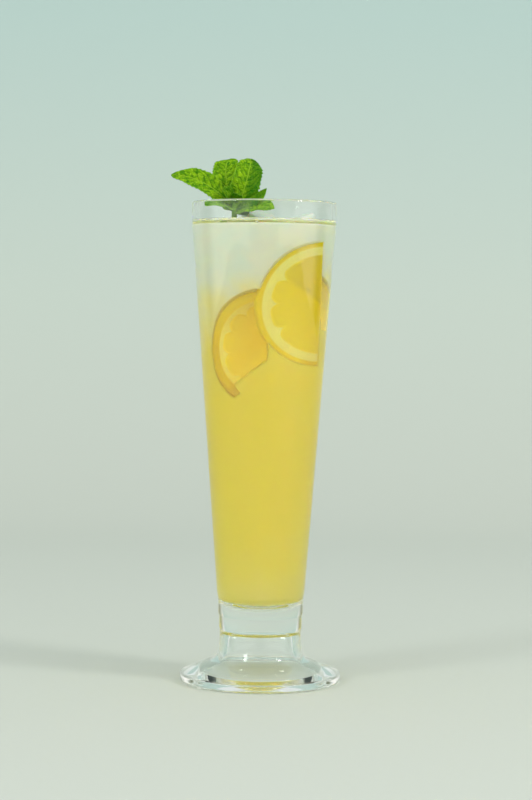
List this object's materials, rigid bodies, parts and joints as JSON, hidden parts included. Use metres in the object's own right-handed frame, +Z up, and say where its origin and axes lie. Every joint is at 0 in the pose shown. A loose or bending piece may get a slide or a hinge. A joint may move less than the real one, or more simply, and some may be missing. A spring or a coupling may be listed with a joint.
{
  "type": "glass of lemon juice",
  "caption": "Tall footed glass of iced lemon juice with lemon slices, ice cubes and a sprig of mint.",
  "frame": {"origin": "on the floor under the middle of the whole outline; the glass's own axis stands 2.8 mm from it towards +X, because the mint's long leaf reaches out past the foot on the -X side", "axes": "+Z up the glass, -Y towards the viewer, +X to the viewer's right"},
  "size_m": [0.078, 0.0724, 0.235],
  "materials": {
    "glass": "clear, smooth",
    "juice": "cloudy yellow juice",
    "lemon": "waxy yellow peel and wet flesh",
    "ice": "wet, half melted",
    "mint": "soft green leaf with raised veins"
  },
  "bodies": {
    "root": {"glass": "glass", "drink": "juice", "lemon_slice_front": "lemon", "lemon_slice_left": "lemon", "lemon_slice_right": "lemon", "ice_cube_middle": "ice", "ice_cube_right": "ice", "ice_cube_left": "ice", "mint_sprig": "mint"}
  },
  "joints": []
}
